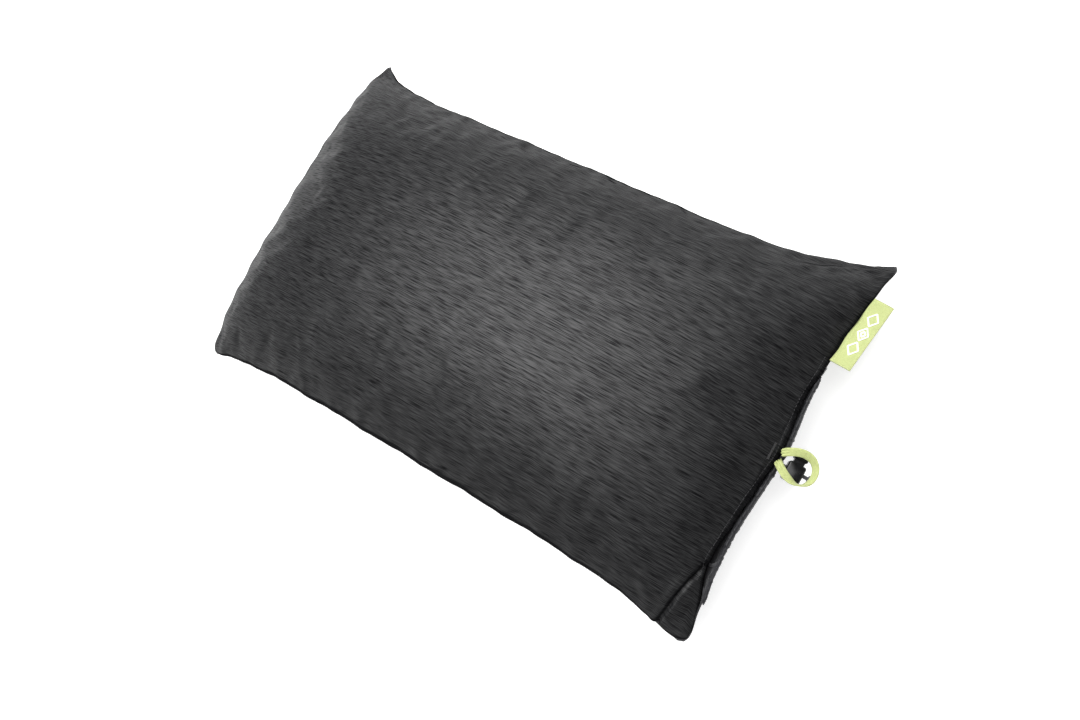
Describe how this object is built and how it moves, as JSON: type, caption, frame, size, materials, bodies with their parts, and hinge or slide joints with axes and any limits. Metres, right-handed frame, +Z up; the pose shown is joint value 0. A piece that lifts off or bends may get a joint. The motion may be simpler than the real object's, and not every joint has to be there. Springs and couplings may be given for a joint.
{
  "type": "camp pillow",
  "caption": "Compact rectangular camp pillow with a crowned knit top, tapered corners, a drawcord stow slit at one end, a pull loop, a side label and an air valve underneath.",
  "frame": {"origin": "middle of the flat patch that the pillow rests on", "axes": "+Z up, out of the crowned top; +X along the pillow towards the end with the slit, loop and label; +Y across it"},
  "size_m": [0.4737, 0.2782, 0.1],
  "materials": {
    "heather_knit": "soft brushed knit, streaked charcoal heather",
    "shell_fabric": "matt woven polyester",
    "dark_thread": "polyester sewing thread",
    "channel_nylon": "thin nylon ripstop, slight sheen",
    "cord": "braided polyester cord",
    "label_weave": "damask woven label",
    "loop_ribbon": "grosgrain ribbon",
    "lock_plastic": "glossy moulded acetal",
    "spring_steel": "drawn wire",
    "foam": "open-cell foam",
    "coated_fabric": "coated polyester, welded",
    "valve_rubber": "soft moulded TPU",
    "valve_silicone": "silicone"
  },
  "bodies": {
    "pillow": {"cover_top_panel": "heather_knit", "cover_bottom_panel": "shell_fabric", "seam_binding": "shell_fabric", "slit_bartacks": "dark_thread", "upper_cord_channel": "channel_nylon", "lower_cord_channel": "channel_nylon", "stow_sack": "channel_nylon", "drawcord": "cord", "cord_knot": "cord", "cord_eyelet": "lock_plastic", "loop_bartack": "loop_ribbon", "foam_topper": "foam", "cell_top_skin": "coated_fabric", "cell_bottom_skin": "coated_fabric", "baffle_front": "coated_fabric", "baffle_middle": "coated_fabric", "baffle_back": "coated_fabric", "valve_base": "valve_rubber", "valve_hinge_pin": "spring_steel", "valve_facing": "channel_nylon"},
    "label": {"side_label": "label_weave"},
    "loop": {"pull_loop": "loop_ribbon"},
    "lock": {"lock_body": "lock_plastic", "lock_spring": "spring_steel"},
    "plunger": {"lock_plunger": "lock_plastic"},
    "cap": {"valve_cap": "valve_rubber", "valve_gasket": "valve_silicone"},
    "flap": {"valve_flap": "valve_silicone"}
  },
  "joints": [
    {"name": "loop_swing", "type": "hinge", "parent": "pillow", "child": "loop", "pos_m": [0.2232, -0.008, 0.04525], "axis": [0, 1, 0], "range_deg": [-100, 0]},
    {"name": "label_flex", "type": "hinge", "parent": "pillow", "child": "label", "pos_m": [0.2225, 0.09, 0.037], "axis": [0, 0.9809, -0.1946], "range_deg": [-60, 60], "stiffness_Nm_per_rad": 0.002},
    {"name": "lock_slide", "type": "slide", "parent": "pillow", "child": "lock", "axis": [0.9659, 0, -0.2588], "range_m": [-0.001, 0.003]},
    {"name": "plunger_press", "type": "slide", "parent": "lock", "child": "plunger", "axis": [0, -1, 0], "range_m": [0, 0.0023], "stiffness_N_per_m": 300, "springref_m": -0.008, "deforming": ["lock_spring"]},
    {"name": "cap_hinge", "type": "hinge", "parent": "pillow", "child": "cap", "pos_m": [-0.17968, 0.07445, 0.01536], "axis": [0.513, 0.8584, 0], "range_deg": [0, 120]},
    {"name": "flap_hinge", "type": "hinge", "parent": "pillow", "child": "flap", "pos_m": [-0.16094, 0.06325, 0.01854], "axis": [0.513, 0.8584, 0], "range_deg": [0, 30], "stiffness_Nm_per_rad": 0.00005}
  ]
}
